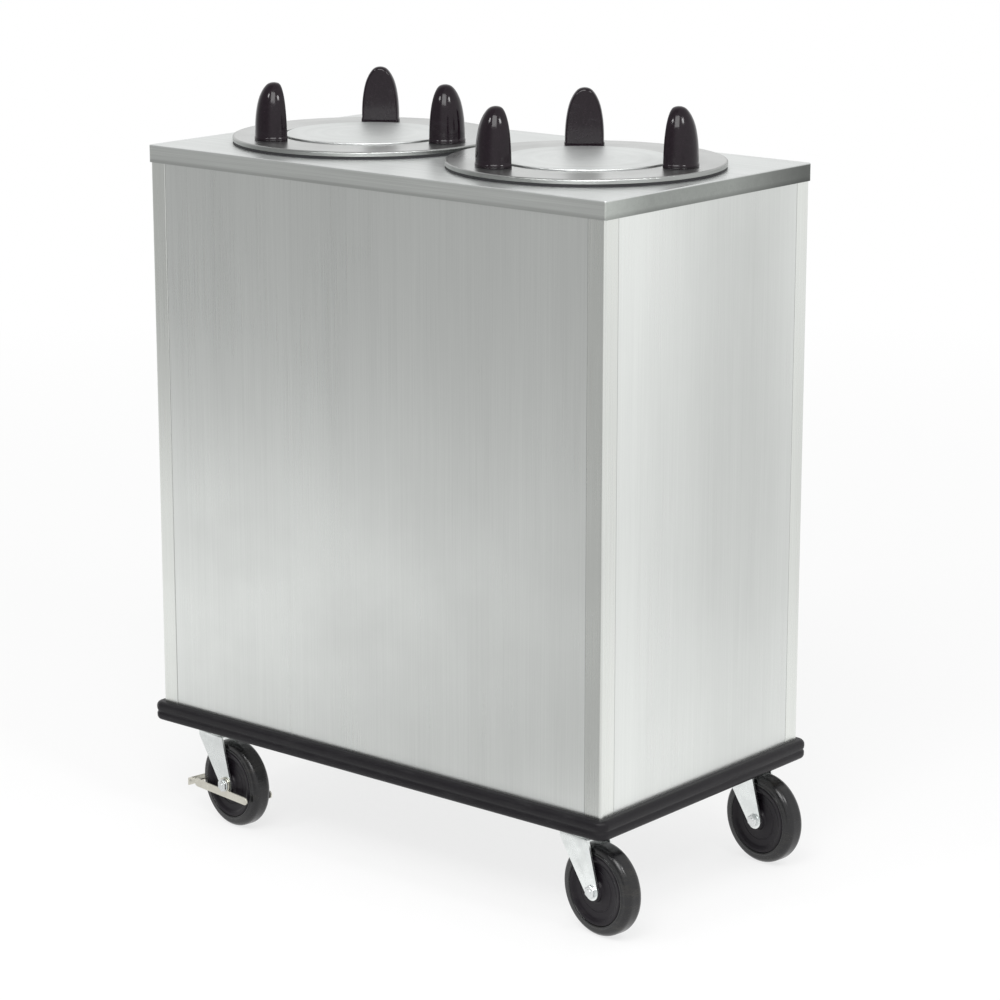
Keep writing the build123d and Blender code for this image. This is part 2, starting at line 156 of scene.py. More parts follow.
def remap(tree, value, low, high, start=0.0, end=1.0):
    inputs = {"Value": value, "From Min": low, "From Max": high, "To Min": start, "To Max": end}
    return node(tree, "MapRange", inputs).outputs[0]


def smooth_step(tree, value, low, high):
    inputs = {"Value": value, "From Min": low, "From Max": high}
    return node(tree, "MapRange", inputs, interpolation_type="SMOOTHSTEP").outputs[0]


def place_of(tree):
    return node(tree, "TexCoord").outputs["Object"]


def scaled(tree, vector, scale):
    return node(tree, "Mapping", {"Vector": vector, "Scale": scale}).outputs[0]


def mix_colours(tree, factor, dark, light):
    made = node(tree, "Mix", {"Factor": factor}, data_type="RGBA")
    for index, colour in ((6, dark), (7, light)):
        if isinstance(colour, bpy.types.NodeSocket):
            tree.links.new(colour, made.inputs[index])
        else:
            made.inputs[index].default_value = (*colour, 1)
    return made.outputs[2]


def new_material(name, **settings):
    material = bpy.data.materials.new(name)
    material.use_nodes = True
    tree = material.node_tree
    shader = tree.nodes["Principled BSDF"]
    for socket, value in settings.items():
        shader.inputs[socket.replace("_", " ")].default_value = value
    return material, tree, shader


def finish_with(tree, shader, colour, roughness, height, depth):
    bump = node(tree, "Bump", {"Height": height, "Strength": 1.0, "Distance": depth})
    tree.links.new(colour, shader.inputs["Base Color"])
    tree.links.new(roughness, shader.inputs["Roughness"])
    tree.links.new(bump.outputs[0], shader.inputs["Normal"])


def tinted(colour, gain):
    return tuple(min(1.0, c * gain) for c in colour)


def varied(tree, colour, gain):
    return node(tree, "VectorMath", {0: colour, "Scale": gain}, operation="SCALE").outputs[0]


def summed(tree, values):
    total = values[0]
    for value in values[1:]:
        total = math_node(tree, "ADD", total, value)
    return total


# A noise value turned into a change of so much either way
def swing(tree, value, amount):
    return remap(tree, value, 0.3, 0.7, -amount, amount)


# Noise drawn out along the grain, which is 1 on the axes that it runs across and 0 on the one that it follows
def grained_noise(tree, place, grain, across, along, *settings):
    return noise(tree, scaled(tree, place, [across * g + along for g in grain]), 1.0, *settings)


# Sheet steel with a drawn grain: fine lines across one direction, longer streaks, wide bands and hand smudges
def brushed_steel(name, colour_at, grain, roughness, contrast=1.0):
    material, tree, shader = new_material(name, Metallic=1.0)
    place = place_of(tree)
    lines = grained_noise(tree, place, grain, 900, 6, 3.0, 0.6)
    streaks = grained_noise(tree, place, grain, 150, 1.2)
    bands = grained_noise(tree, place, grain, 9, 0.6)
    smudges = noise(tree, place, 6.0, 4.0, 0.6)
    gain = summed(tree, [swing(tree, lines, 0.035 * contrast), swing(tree, streaks, 0.015 * contrast),
                         swing(tree, bands, 0.03), remap(tree, smudges, 0.45, 0.75, 1.0, 0.97)])
    sheen = summed(tree, [swing(tree, lines, 0.03), swing(tree, bands, 0.02), swing(tree, smudges, 0.03),
                          roughness])
    colour = varied(tree, colour_at(tree, place), gain)
    finish_with(tree, shader, colour, sheen, lines, 0.000012 * contrast)
    return material


# One colour all over
def plain(colour):
    return lambda tree, place: colour


# How far a place lies from the middle of a span, with half the span
def off_middle(tree, along, low, high):
    out = math_node(tree, "ABSOLUTE", math_node(tree, "SUBTRACT", along, (low + high) / 2))
    return out, (high - low) / 2


# One on the outer faces of a sheet form, and zero inside them
def outermost(tree, along, low, high):
    out, half = off_middle(tree, along, low, high)
    return remap(tree, out, half - 0.003, half - 0.001)


# Panels take painted shade in the last millimetre before a seam, where the sheet turns inwards, and a painted
# reflection that slowly lightens and darkens them across the sheet, more so in the upper half.
def seamed(colour, axis, low, high, painted_reflection_drift):
    def colour_at(tree, place):
        split = node(tree, "SeparateXYZ", {0: place})
        along = split.outputs[axis]
        out, half = off_middle(tree, along, low[axis], high[axis])
        # painted shade: the colour falls to half in the last millimetre before each seam
        seam = remap(tree, out, half - 0.0013, half - 0.0004, 1.0, 0.5)
        # painted reflection: a slow swing of lighter and darker colour across the sheet, stronger higher up
        painted_reflection_wave = math_node(tree, "COSINE", remap(tree, along, low[axis], high[axis], 0.0, 4.5))
        amount = remap(tree, split.outputs[2], 0.3, 0.75, 0.45 * painted_reflection_drift, painted_reflection_drift)
        painted_reflection_tone = math_node(tree, "ADD", math_node(tree, "MULTIPLY", painted_reflection_wave, amount), 1.0 - 0.2 * painted_reflection_drift)
        return varied(tree, colour, math_node(tree, "MULTIPLY", seam, painted_reflection_tone))
    return colour_at


# Towards +X, painted shade makes a corner post's leg on a broad side darker than its other leg, most in the
# lower part.
def painted_leg_shade(colour, low, high):
    def colour_at(tree, place):
        split = node(tree, "SeparateXYZ", {0: place})
        broad = outermost(tree, split.outputs[1], low.y, high.y)
        # painted shade: the broad-side leg darkens towards +X, most low down
        painted_shade_keep = remap(tree, split.outputs[2], 0.5, 0.9, 0.8, 0.95)
        where = math_node(tree, "MULTIPLY", broad, remap(tree, split.outputs[0], 0.0, high.x - 0.05))
        painted_shade_loss = math_node(tree, "MULTIPLY", where, math_node(tree, "SUBTRACT", 1.0, painted_shade_keep))
        return varied(tree, colour, math_node(tree, "SUBTRACT", 1.0, painted_shade_loss))
    return colour_at


# The deck's top is bright, and painted shade darkens its turned-down flange below the rounded edge, most at
# its two ends, which carry a painted highlight at the front and darken further towards the rear. The flange
# is also darker over the last few millimetres at its foot, all round.
def flange_with_painted_shade(top_colour, flange_shade_colour, end_shade_colour, low, high):
    def colour_at(tree, place):
        split = node(tree, "SeparateXYZ", {0: place})
        # painted highlight near the front of each end, and painted shade towards the rear
        front = remap(tree, split.outputs[1], low.y, low.y + 0.09, 1.35, 0.85)
        rear = remap(tree, split.outputs[1], 0.04, high.y - 0.02, 1.0, 0.42)
        end = varied(tree, end_shade_colour, math_node(tree, "MULTIPLY", front, rear))
        side = mix_colours(tree, outermost(tree, split.outputs[0], low.x, high.x), flange_shade_colour, end)
        # darker over the last few millimetres at the flange's foot
        side = varied(tree, side, remap(tree, split.outputs[2], low.z + 0.002, low.z + 0.007, 0.75, 1.0))
        on_top = remap(tree, split.outputs[2], high.z - 0.0022, high.z - 0.0006)
        return mix_colours(tree, on_top, side, top_colour)
    return colour_at


# Steel turned on a spindle, so that its grain runs in rings about its own centre, with painted shade on its
# rolled rim
def spun_steel(name, colour, centre, roughness, rim=None, rim_shade_colour=None):
    material, tree, shader = new_material(name, Metallic=1.0)
    place = place_of(tree)
    offset = node(tree, "Mapping", {"Vector": place, "Location": (-centre.x, -centre.y, 0)}).outputs[0]
    radius = length_of(tree, times(tree, offset, (1, 1, 0)))
    height = node(tree, "SeparateXYZ", {0: place}).outputs[2]
    ringed = node(tree, "CombineXYZ", {0: radius, 1: 0.0, 2: height}).outputs[0]
    lines = noise(tree, ringed, 700.0, 3.0, 0.65)
    bands = noise(tree, ringed, 45.0, 2.0)
    smudges = noise(tree, place, 9.0, 4.0, 0.6)
    gain = summed(tree, [swing(tree, lines, 0.035), swing(tree, bands, 0.04),
                         remap(tree, smudges, 0.4, 0.75, 1.0, 0.93)])
    sheen = summed(tree, [swing(tree, lines, 0.03), swing(tree, smudges, 0.04), roughness])
    if rim:
        # painted shade: the rolled rim takes a darker colour
        colour = mix_colours(tree, remap(tree, radius, rim - 0.0035, rim - 0.0012), colour, rim_shade_colour)
    finish_with(tree, shader, varied(tree, colour, gain), sheen, lines, 0.00002)
    return material


# Bright zinc plate with a faint crystal pattern and duller hollows
def zinc_plate(name, colour, roughness=0.27):
    material, tree, shader = new_material(name, Metallic=1.0)
    place = place_of(tree)
    crystals = node(tree, "TexVoronoi", {"Vector": place, "Scale": 420.0, "Randomness": 1.0}).outputs["Color"]
    grey = node(tree, "RGBToBW", {0: crystals}).outputs[0]
    cloud = noise(tree, place, 45.0, 4.0, 0.6)
    grit = noise(tree, place, 900.0, 2.0)
    even = mix_colours(tree, remap(tree, grey, 0.2, 0.8), tinted(colour, 0.97), tinted(colour, 1.03))
    dulled = mix_colours(tree, remap(tree, cloud, 0.45, 0.75, 0.0, 0.7), even, tinted(colour, 0.86))
    sheen = math_node(tree, "ADD", remap(tree, cloud, 0.3, 0.7, roughness - 0.04, roughness + 0.12),
                      remap(tree, grey, 0.2, 0.8, -0.02, 0.02))
    finish_with(tree, shader, dulled, sheen, grit, 0.00002)
    return material


# Moulded plastic: an even dark skin with fine ripple and rubbed places
def moulded_plastic(name, colour, roughness, rubbed, shine, depth=0.00003):
    material, tree, shader = new_material(name, Specular_IOR_Level=shine)
    place = place_of(tree)
    ripple = noise(tree, place, 240.0, 2.0)
    rubs = noise(tree, scaled(tree, place, (30, 30, 90)), 1.0, 5.0, 0.65)
    even = mix_colours(tree, remap(tree, ripple, 0.3, 0.7), tinted(colour, 0.85), tinted(colour, 1.15))
    worn = mix_colours(tree, remap(tree, rubs, 0.55, 0.8, 0.0, 0.6), even, rubbed)
    sheen = math_node(tree, "ADD", remap(tree, ripple, 0.3, 0.7, roughness - 0.03, roughness + 0.03),
                      remap(tree, rubs, 0.5, 0.8, 0.0, 0.16))
    finish_with(tree, shader, worn, sheen, ripple, depth)
    return material


# Rubber or vinyl: fine grain, scuffs, and dust that settles on it
def grained_rubber(name, colour, roughness, dust, dust_amount, shine, depth=0.00008):
    material, tree, shader = new_material(name, Specular_IOR_Level=shine)
    place = place_of(tree)
    grain = noise(tree, place, 1100.0, 3.0, 0.6)
    scuffs = noise(tree, scaled(tree, place, (25, 25, 120)), 1.0, 5.0, 0.7)
    patches = noise(tree, place, 14.0, 4.0, 0.6)
    even = mix_colours(tree, remap(tree, grain, 0.3, 0.7), tinted(colour, 0.82), tinted(colour, 1.2))
    dusty = math_node(tree, "MULTIPLY", remap(tree, scuffs, 0.48, 0.78), remap(tree, patches, 0.3, 0.7))
    worn = mix_colours(tree, math_node(tree, "MULTIPLY", dusty, dust_amount), even, dust)
    sheen = math_node(tree, "ADD", remap(tree, grain, 0.3, 0.7, roughness - 0.04, roughness + 0.04),
                      math_node(tree, "MULTIPLY", dusty, 0.2))
    finish_with(tree, shader, worn, sheen, grain, depth)
    return material


# Mesh helpers, all in millimetres on a local frame that a matrix then puts in place
def add_piece(name, points, faces, material, body, matrix=Matrix.Identity(4), sharp=38):
    mesh = bpy.data.meshes.new(name)
    mesh.from_pydata([matrix @ (Vector(p) * mm) for p in points], [], faces)
    mesh.validate()
    mesh.shade_smooth()
    mesh.set_sharp_from_angle(angle=math.radians(sharp))
    mesh.materials.append(material)
    piece = bpy.data.objects.new(name, mesh)
    scene.collection.objects.link(piece)
    if body:
        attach(piece, body)
    return piece


def bevel(piece, width, segments=2, angle=35):
    modifier = piece.modifiers.new("bevel", "BEVEL")
    modifier.width = width * mm
    modifier.segments = segments
    modifier.limit_method = "ANGLE"
    modifier.angle_limit = math.radians(angle)


class Shape:
    """Collects points and faces of a piece that is made from several forms."""

    def __init__(self):
        self.points = []
        self.faces = []

    def add(self, points, faces, matrix=None):
        first = len(self.points)
        self.points += [matrix @ Vector(p) for p in points] if matrix else [Vector(p) for p in points]
        self.faces += [[first + i for i in face] for face in faces]


def rings_to_faces(rings, count, closed_along=False, cap_start=False, cap_end=False):
    faces = []
    for r in range(rings if closed_along else rings - 1):
        low, high = r * count, (r + 1) % rings * count
        for i in range(count):
            j = (i + 1) % count
            faces.append((low + i, low + j, high + j, high + i))
    if cap_start:
        faces.append(tuple(reversed(range(count))))
    if cap_end:
        faces.append(tuple(range((rings - 1) * count, rings * count)))
    return faces


def lathe(profile, count, closed=True):
    """Turns (radius, height) points about local Z. A closed profile makes a ring, an open one is capped."""
    points = []
    for radius, height in profile:
        for i in range(count):
            turn = 2 * math.pi * i / count
            points.append((radius * math.cos(turn), radius * math.sin(turn), height))
    return points, rings_to_faces(len(profile), count, closed, not closed, not closed)


def hexagon(flats, low, high, chamfer):
    """A hexagon head with its corners chamfered at the free end, which is high."""
    reach = flats / math.sqrt(3)
    points = []
    for radius, height in ((reach, low), (reach, high - chamfer * 0.6), (flats / 2 * 0.96, high)):
        for i in range(6):
            turn = math.pi * (i + 0.5) / 3
            points.append((radius * math.cos(turn), radius * math.sin(turn), height))
    return points, rings_to_faces(3, 6, False, True, True)


def arc(x, y, radius, start, end, steps):
    turns = [math.radians(start + (end - start) * i / steps) for i in range(steps + 1)]
    return [(x + radius * math.cos(t), y + radius * math.sin(t)) for t in turns]


def rounded_rectangle(half_x, half_y, corner, steps):
    """An outline whose corners are rounded about points that lie half_x and half_y from its middle."""
    outline = []
    for sx, sy, start in ((1, 1, 0), (-1, 1, 90), (-1, -1, 180), (1, -1, 270)):
        outline += arc(sx * half_x, sy * half_y, corner, start, start + 90, steps)
    return outline


def mirrored(half):
    return half + [(radius, -height) for radius, height in reversed(half)]


def extruded(outline, start, end):
    """Draws an (x, z) outline out along Y."""
    points = [(x, y, z) for y in (start, end) for x, z in outline]
    return points, rings_to_faces(2, len(outline), False, True, True)


# The larger of two values, with the step between them eased
def smooth_max(a, b, width):
    near = max(width - abs(a - b), 0) / width
    return max(a, b) + near * near * width / 4


# Guide posts: bullet forms cut flat towards the stack, with eased edges, a foot lip and a moulding line
def make_guide_post(name, angle, centre, material):
    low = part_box(name)[0]
    profile = [(0, 26.8), (0.6, 27.4), (3.4, 27.5), (4.4, 27.2), (5.0, 26.8), (7, 26.6), (13, 26.6),
               (20, 26.4), (28, 25.9), (34, 25.3), (41, 24.3), (48, 23.0), (54, 21.5), (59, 19.8), (63, 18.0),
               (66.5, 16.2), (69.5, 14.3), (71.8, 12.6), (73.6, 11.0), (75.2, 9.2), (76.4, 7.3), (77.2, 5.2),
               (77.7, 3.2), (77.95, 1.2)]
    count = 72
    flat, flat_lean, flat_easing = -9.9, 0.02, 3.0
    seam_height, seam_half_width, foot_lip = 0.16, 1.2, 5
    points = []
    for z, radius in profile:
        for i in range(count):
            a = 2 * math.pi * i / count
            x, y = radius * math.cos(a), radius * math.sin(a)
            on_seam = x > 0 and z > foot_lip
            seam = seam_height * max(0.0, 1 - abs(y) / seam_half_width) if on_seam else 0.0
            points.append((smooth_max(x + seam, flat + flat_lean * z, flat_easing), y, z))
    faces = rings_to_faces(len(profile), count, False, True, True)
    matrix = Matrix.Translation((centre.x, centre.y, low.z)) @ Matrix.Rotation(math.radians(angle), 4, "Z")
    matrix = matrix @ Matrix.Translation((post_circle * mm, 0, 0))
    piece = add_piece(name + "_moulding", points, faces, material, "cabinet", matrix,
                      sharp=60)
    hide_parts(name)


# Bumper: a vinyl extrusion with two soft ribs and a groove between them, bent round the base
def make_bumper(material):
    low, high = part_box("bumper")
    height = (high.z - low.z) / mm
    depth, inner_corner, outer_corner = 12.5, 3.5, 15.0
    profile = [(0.0, 0.0), (4.4, 0.0)]
    profile += arc(6.0, 6.2, 6.2, -90, 0, 7)[1:]
    profile += [(12.35, 8.4), (12.0, 10.4), (11.2, 11.7), (10.9, 12.6), (11.1, 13.6), (11.9, 14.9)]
    profile += [(12.4, 17.0), (12.5, 19.4)]
    profile += arc(5.7, 20.2, 6.8, 0, 90, 7)[1:]
    profile += [(0.0, height)]
    inner_x, inner_y = (high.x - low.x) / 2 / mm - depth, (high.y - low.y) / 2 / mm - depth
    middle = (low + high) / 2
    points = []
    for out, up in profile:
        corner = inner_corner + (outer_corner - inner_corner) * out / depth
        ring = rounded_rectangle(inner_x + out - corner, inner_y + out - corner, corner, 10)
        points += [(x, y, up) for x, y in ring]
    faces = rings_to_faces(len(profile), len(ring), True)
    piece = add_piece("bumper_extrusion", points, faces, material, "cabinet",
                      Matrix.Translation((middle.x, middle.y, low.z)), sharp=50)
    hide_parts("bumper")


# Lift springs: close-wound coils with a hook at each end
def make_springs(side, material):
    node_name = side + "_lift_springs"
    low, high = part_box(node_name)
    ring_low, ring_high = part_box(side + "_flange_ring")
    centre = (ring_low + ring_high) / 2
    top, bottom = high.z / mm, low.z / mm
    shape = Shape()
    wire, wire_sides, coil, pitch, around = 1.0, 6, 5.9, 2.7, 10
    hook, straight = 5, 10
    steps = int((top - bottom - 2 * straight) / pitch * around)
    path = [(0, 0, top), (0, 0, top - hook)]
    for i in range(steps + 1):
        a = 2 * math.pi * i / around
        reach = coil * min(1.0, i / around, (steps - i) / around)
        path.append((reach * math.cos(a), reach * math.sin(a), top - straight - pitch * i / around))
    path += [(0, 0, bottom + hook), (0, 0, bottom)]
    points = tube_points([Vector(p) for p in path], wire, wire_sides)
    faces = rings_to_faces(len(path), wire_sides, False, True, True)
    for first in (60, 180, 300):
        for spread in (-spring_spread, spring_spread):
            turn = math.radians(dispenser_turn[side] + first + spread)
            place = (spring_circle * math.cos(turn), spring_circle * math.sin(turn), 0)
            shape.add(points, faces, Matrix.Translation(place))
    piece = add_piece(side + "_spring_coils", shape.points, shape.faces, material, None,
                      Matrix.Translation((centre.x, centre.y, 0)), sharp=70)
    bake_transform(piece)
    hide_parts(node_name)


# Rings of points round a path, which turn with it without twisting
def tube_points(path, radius, count):
    points = []
    side = Vector((0, 1, 0))
    for i, place in enumerate(path):
        along = (path[min(i + 1, len(path) - 1)] - path[max(i - 1, 0)]).normalized()
        side = (side - along * side.dot(along)).normalized()
        third = along.cross(side)
        for k in range(count):
            a = 2 * math.pi * k / count
            points.append(place + (side * math.cos(a) + third * math.sin(a)) * radius)
    return points


# Casters are made about their swivel axis, X along the trail and Z up from the floor.
def caster_matrix(corner):
    place = joints[corner + "_caster_swivel"]["pos_m"]
    across = joints[corner + "_wheel_spin"]["axis"]
    turn = math.atan2(-across[0], across[1])
    return Matrix.Translation((place[0], place[1], 0)) @ Matrix.Rotation(turn, 4, "Z")


def across_wheel():
    return Matrix.Translation((caster_trail, 0, axle_height)) @ Matrix.Rotation(math.radians(90), 4, "X")


def make_tyre(corner, material, place):
    half = [(47.53, 12.6), (47.9, 14.2), (49.0, 14.9), (50.4, 15.0), (51.2, 14.6), (51.6, 13.9), (52.0, 13.8)]
    half += arc(52.5, 5.0, 10.0, 66, 0, 12)
    half += [(62.5, 2.4), (62.5, 0.5)]
    points, faces = lathe(mirrored(half), 120)
    points = [across_wheel() @ Vector(p) for p in points]
    piece = add_piece(corner + "_tyre_tread", points, faces, material, corner + "_wheel",
                      place, sharp=60)
    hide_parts(corner + "_tyre")


def make_wheel(corner, material, place):
    half = [(5.3, 16.2), (6.2, 17.0), (12.6, 17.0), (14.0, 16.4), (15.0, 13.6), (16.4, 12.3), (18.6, 11.9),
            (27.6, 11.7), (28.2, 11.2), (29.4, 11.2), (30.0, 11.7), (37.2, 11.9), (39.4, 12.5), (40.9, 13.9),
            (42.2, 14.7), (46.2, 14.9), (47.4, 14.0)]
    points, faces = lathe(mirrored(half), 120)
    points = [across_wheel() @ Vector(p) for p in points]
    piece = add_piece(corner + "_wheel_moulding", points, faces, material, corner + "_wheel",
                      place)
    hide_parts(corner + "_wheel_core")


# How far a fork leg reaches in X at a height: a sheet drawn in from the crown to a round foot
def leg_span(z):
    skirt, least = 124.0, 0.04
    spans = []
    for corner_x, corner_z, side in ((-fork_half_length, skirt, -1), (fork_half_length, fork_top, 1)):
        reach = math.hypot(corner_x - caster_trail, corner_z - axle_height)
        lean = math.atan2(corner_z - axle_height, corner_x - caster_trail)
        touch = lean - side * math.acos(fork_foot_radius / reach)
        touch_x = caster_trail + fork_foot_radius * math.cos(touch)
        touch_z = axle_height + fork_foot_radius * math.sin(touch)
        if z >= corner_z:
            spans.append(corner_x)
        elif z >= touch_z:
            spans.append(touch_x + (corner_x - touch_x) * (z - touch_z) / (corner_z - touch_z))
        else:
            square = max(fork_foot_radius ** 2 - (z - axle_height) ** 2, least)
            spans.append(caster_trail + side * math.sqrt(square))
    return spans


def clamped(value):
    return min(max(value, 0), 1)


# The path of a fork's sheet across the wheel, as (y, z) points up one leg, over the crown and down the other
def fork_path():
    bend = 4.0
    path = [(fork_outer, axle_height - fork_foot_radius * math.cos(math.radians(a))) for a in range(4, 90, 9)]
    path += [(fork_outer, z) for z in (66, 74, 82, 90, 98, 106, 114, 120, 124, 127)]
    path += arc(fork_outer - bend, fork_top - bend, bend, 15, 90, 5)
    path += [(8.0, fork_top), (0.0, fork_top)]
    return path + [(-y, z) for y, z in reversed(path[:-1])], fork_outer - bend


# The two faces of a fork's sheet, with a shallow pressed hollow down the middle of each leg
def fork_surfaces(path, bend_start, across):
    crown_start, taper = 129, 0.4
    press, press_low, press_high, press_edge = 0.9, 74, 118, 0.2
    outside, inside = [], []
    for y, z in path:
        low, high = leg_span(z) if z < crown_start else (-fork_half_length, fork_half_length)
        side = 1 if y >= 0 else -1
        on_leg = abs(y) == fork_outer
        pressed = clamped((z - press_low) / 12) * clamped((press_high - z) / 10) if on_leg else 0
        for i in range(across):
            share = i / (across - 1)
            x = low + (high - low) * share
            inward = clamped((share - press_edge) / (1 - 2 * press_edge))
            depth = press * math.sin(math.pi * inward) ** 2 * pressed
            outside.append((x, y - side * depth, z))
            if abs(y) > bend_start + 0.01:
                inner_y = side * (fork_inner - max(z - crown_start, 0) * taper)
                inside.append((x, inner_y - side * depth, min(z, fork_under)))
            else:
                inside.append((x, y, fork_under))
    return outside, inside


def make_fork(corner, material, place):
    across = 17
    path, bend_start = fork_path()
    outside, inside = fork_surfaces(path, bend_start, across)
    rows = len(path)
    first = len(outside)
    faces = []
    for r in range(rows - 1):
        for i in range(across - 1):
            a = r * across + i
            faces.append((a, a + 1, a + across + 1, a + across))
            faces.append((first + a, first + a + across, first + a + across + 1, first + a + 1))
        for i, flip in ((0, False), (across - 1, True)):
            a = r * across + i
            quad = (a, a + across, first + a + across, first + a)
            faces.append(tuple(reversed(quad)) if flip else quad)
    for r, flip in ((0, True), (rows - 1, False)):
        for i in range(across - 1):
            a = r * across + i
            quad = (a, a + 1, first + a + 1, first + a)
            faces.append(tuple(reversed(quad)) if flip else quad)
    shape = Shape()
    shape.add(outside + inside, faces)
    race = [(6.2, 132.9), (21.5, 132.9), (24.6, 133.8), (26.4, 135.8), (27.0, 138.2), (26.8, 140.4),
            (25.4, 142.2), (23.4, 143.1), (22.4, 144.0), (20.0, 144.6), (6.2, 144.6)]
    shape.add(*lathe(race, 72))
    shape.add(*lathe([(5.9, 144.4), (5.9, 155.2), (5.2, 155.5)], 24, closed=False))
    piece = add_piece(corner + "_pressed_fork", shape.points, shape.faces, material, corner + "_swivel",
                      place)
    bevel(piece, 0.5, angle=50)
    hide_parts(corner + "_caster_fork")


def make_axle_bolt(corner, material, place):
    seat = 23.7 if corner in braked else fork_outer
    shape = Shape()
    shape.add(*lathe([(4.9, -seat), (4.9, seat)], 24, closed=False))
    for side in (-1, 1):
        turn = Matrix.Rotation(0 if side > 0 else math.pi, 4, "X")
        washer = [(5.2, seat), (9.2, seat), (9.2, seat + 0.9), (8.9, seat + 1.2), (5.2, seat + 1.2)]
        shape.add(*lathe(washer, 32), turn)
        shape.add(*hexagon(15.4, seat + 1.2, seat + 5.2, 1.6), turn)
        shape.add(*lathe([(4.6, seat + 5.0), (4.6, seat + 5.7), (4.0, seat + 6.0)], 24, closed=False), turn)
    points = [across_wheel() @ p for p in shape.points]
    piece = add_piece(corner + "_axle_hardware", points, shape.faces, material, corner + "_swivel",
                      place, sharp=25)
    bevel(piece, 0.25, angle=30)
    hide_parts(corner + "_axle_bolt")


# Foot brake: two pressed arms with eyes on the axle bolt, and a ribbed pedal ahead of the tread
def make_brake(corner, material, place):
    shape = Shape()
    half_width, sheet = 23.2, 2.3
    arm = arc(caster_trail, axle_height, 11.0, -40, 220, 18)
    arm += [(22.0, 55.8), (-30.0, 55.8), (-35.4, 54.2), (-36.0, 50.0), (-34.0, 45.2), (-30.0, 44.2)]
    arm += [(79.0, 44.2)]
    arm += arc(79.8, 50.0, 5.8, -75, 75, 8) + [(46.0, 55.8)]
    for start in (-half_width, half_width - sheet):
        shape.add(*extruded(arm, start, start + sheet))
    pedal = [(-49.0, 50.4), (-34.0, 50.4), (-34.0, 53.0), (-49.4, 53.0), (-51.2, 52.2), (-52.0, 50.4),
             (-52.0, 42.0), (-51.4, 41.0), (-50.0, 41.0), (-49.4, 42.0)]
    shape.add(*extruded(pedal, -half_width, half_width))
    first_rib, rib_step, rib_half_length = -48.6, 3.6, 20.0
    for step in range(4):
        x = first_rib + rib_step * step
        rib = [(x, 52.6), (x + 1.6, 52.6), (x + 1.3, 53.5), (x + 0.3, 53.5)]
        shape.add(*extruded(rib, -rib_half_length, rib_half_length))
    piece = add_piece(corner + "_foot_brake", shape.points, shape.faces, material, corner + "_brake",
                      place, sharp=30)
    bevel(piece, 0.5, angle=30)
    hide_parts(corner + "_brake_lever")


# Caster mounting plate with its pressed race, and the four bolts that hold it
def make_caster_plate(corner, material):
    low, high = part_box(corner + "_caster_plate")
    centre = Matrix.Translation(((low.x + high.x) / 2, (low.y + high.y) / 2, 0))
    shape = Shape()
    outline = rounded_rectangle(40.0, 24.0, 6.0, 6)
    plate = [(x, y, z) for z in (plate_bottom, plate_top) for x, y in outline]
    shape.add(plate, rings_to_faces(2, len(outline), False, True, True))
    race = [(6.3, 145.0), (27.2, 145.0), (28.6, 145.7), (29.0, 147.2), (28.6, 149.0), (27.0, 150.6),
            (26.4, 152.0), (26.8, 153.2), (6.3, 153.2)]
    shape.add(*lathe(race, 72))
    piece = add_piece(corner + "_mounting_plate", shape.points, shape.faces, material, "cabinet",
                      centre)
    bevel(piece, 0.4, angle=45)
    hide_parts(corner + "_caster_plate")


def make_caster_bolts(material):
    shape = Shape()
    washer = [(4.2, 0.0), (7.3, 0.0), (7.3, 0.7), (6.6, 1.0), (4.2, 1.0)]
    thread_end = [(3.9, 155.0), (3.9, 165.5), (3.4, 166.0)]
    flats, chamfer = 12.6, 1.2
    for corner in corners:
        low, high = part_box(corner + "_caster_plate")
        x, y = (low.x + high.x) / 2 / mm, (low.y + high.y) / 2 / mm
        for i in (-bolt_x, bolt_x):
            for j in (-bolt_y, bolt_y):
                place = Matrix.Translation((x + i, y + j, 0))
                down = place @ Matrix.Translation((0, 0, plate_bottom)) @ Matrix.Rotation(math.pi, 4, "X")
                shape.add(*lathe(washer, 24), down)
                shape.add(*hexagon(flats, 0.9, 5.3, chamfer), down)
                shape.add(*hexagon(flats, 158.0, 164.5, chamfer), place)
                shape.add(*lathe(thread_end, 20, closed=False), place)
    piece = add_piece("caster_bolt_set", shape.points, shape.faces, material, "cabinet",
                      sharp=25)
    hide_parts("caster_bolts")


def paint(name, material):
    data = frame["nodes"][name].data
    data.materials.clear()
    data.materials.append(material)


# Keeps large flat faces flat up to their rounded edges
def flatten_shading(name):
    modifier = frame["nodes"][name].modifiers.new("flat_faces", "WEIGHTED_NORMAL")
    modifier.keep_sharp = True
    modifier.weight = 80


# The studio is white all round, apart from a dim stretch ahead and to the left that steel reflects as grey.
def dimness(tree, direction):
    level = times(tree, direction, (1, 1, 0))
    heading = node(tree, "VectorMath", {0: level}, operation="NORMALIZE").outputs[0]
    return smooth_step(tree, share_along(tree, heading, dim_heading), 0.5, 0.92)


# What reflections see of the floor: bright, but dimmed ahead and to the left outside the pool, and behind
def floor_shine(tree, place, away):
    gap = node(tree, "Mapping", {"Vector": place, "Location": -pool_centre}).outputs[0]
    gap = length_of(tree, times(tree, gap, (0.8, 1.0, 0)))
    dim = math_node(tree, "MULTIPLY", dimness(tree, place), smooth_step(tree, gap, 0.6, 1.5))
    dim = math_node(tree, "MULTIPLY", dim, remap(tree, away, 0.25, 0.8))
    behind = share_along(tree, place, band_heading)
    band = math_node(tree, "MULTIPLY", remap(tree, behind, 1.0, 2.0), remap(tree, behind, 5.5, 3.0))
    shown = remap(tree, dim, 0.0, 1.0, floor_level, room_dark)
    return math_node(tree, "SUBTRACT", shown, math_node(tree, "MULTIPLY", band, band_loss))


def is_sharp_ray(tree, path):
    return math_node(tree, "MAXIMUM", path.outputs["Is Glossy Ray"], path.outputs["Is Transmission Ray"])


def mix_shaders(tree, factor, first, second):
    return node(tree, "MixShader", {0: factor, 1: first, 2: second}).outputs[0]


